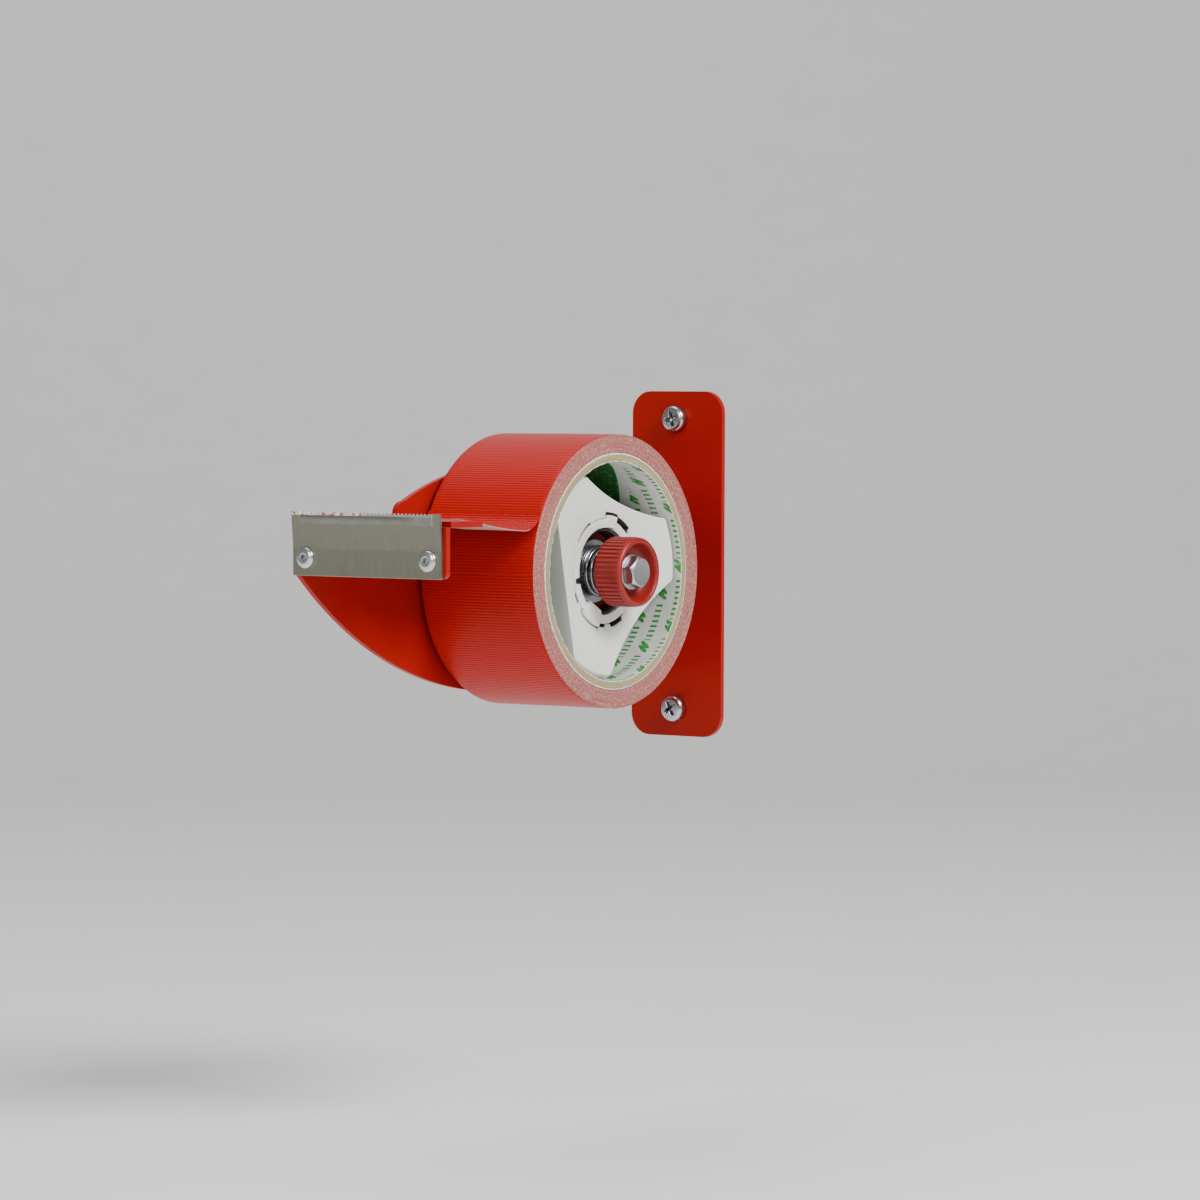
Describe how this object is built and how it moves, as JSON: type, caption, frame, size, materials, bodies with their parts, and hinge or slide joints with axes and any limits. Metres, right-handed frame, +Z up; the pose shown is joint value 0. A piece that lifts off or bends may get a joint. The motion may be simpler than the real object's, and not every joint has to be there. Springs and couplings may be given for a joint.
{
  "type": "wall-mounted tape dispenser",
  "caption": "Wall-mounted tape dispenser: bent red steel frame with a toothed blade at its nose and a braked white hub holding a roll of red cloth tape.",
  "frame": {"origin": "centre of the flange's back face, on the wall's plane", "axes": "+Z up, +Y into the wall, +X to the right along the wall; the frame reaches out along -Y and the hub's axis lies along X"},
  "size_m": [0.072, 0.2031, 0.125],
  "materials": {
    "frame_paint": "satin red powder coating",
    "blade_steel": "bare stainless steel, brushed upright",
    "rivet_aluminium": "bright aluminium",
    "zinc_plate": "bright zinc plating",
    "tape_cloth": "glossy coated cloth tape",
    "core_board": "pressed paper board with a printed liner",
    "hub_plastic": "off-white moulded plastic",
    "bush_plastic": "dark grey moulded plastic",
    "fibre": "red vulcanised fibre",
    "spring_steel": "drawn spring wire",
    "knob_plastic": "red moulded plastic, satin"
  },
  "bodies": {
    "frame": {"frame_plate": "frame_paint", "blade": "blade_steel", "blade_rivet_left": "rivet_aluminium", "blade_rivet_right": "rivet_aluminium", "wall_screw_top": "zinc_plate", "wall_screw_bottom": "zinc_plate", "tape_lead": "tape_cloth", "axle_stud": "zinc_plate", "axle_washer": "zinc_plate", "axle_nut": "zinc_plate", "brake_washer": "zinc_plate", "brake_spring": "spring_steel", "bolt_washer": "zinc_plate", "knob_bolt": "zinc_plate"},
    "roll": {"hub_body": "hub_plastic", "hub_ring": "hub_plastic", "hub_bush": "bush_plastic", "friction_disc": "fibre", "tape_core": "core_board", "tape_roll": "tape_cloth"},
    "brake_seat": {"spring_seat": "zinc_plate"},
    "knob": {"brake_knob": "knob_plastic"}
  },
  "joints": [
    {"name": "roll_spin", "type": "hinge", "parent": "frame", "child": "roll", "pos_m": [0, -0.0824, 0], "axis": [1, 0, 0], "continuous": true},
    {"name": "knob_travel", "type": "slide", "parent": "frame", "child": "brake_seat", "axis": [1, 0, 0], "range_m": [-0.0015, 0], "deforming": ["brake_spring"]},
    {"name": "knob_turn", "type": "hinge", "parent": "brake_seat", "child": "knob", "pos_m": [0, -0.0824, 0], "axis": [1, 0, 0], "range_deg": [-360.5, 0]}
  ],
  "couplings": [
    {"joint": "knob_turn", "follows": "knob_travel", "rad_per_m": 4188.8}
  ]
}
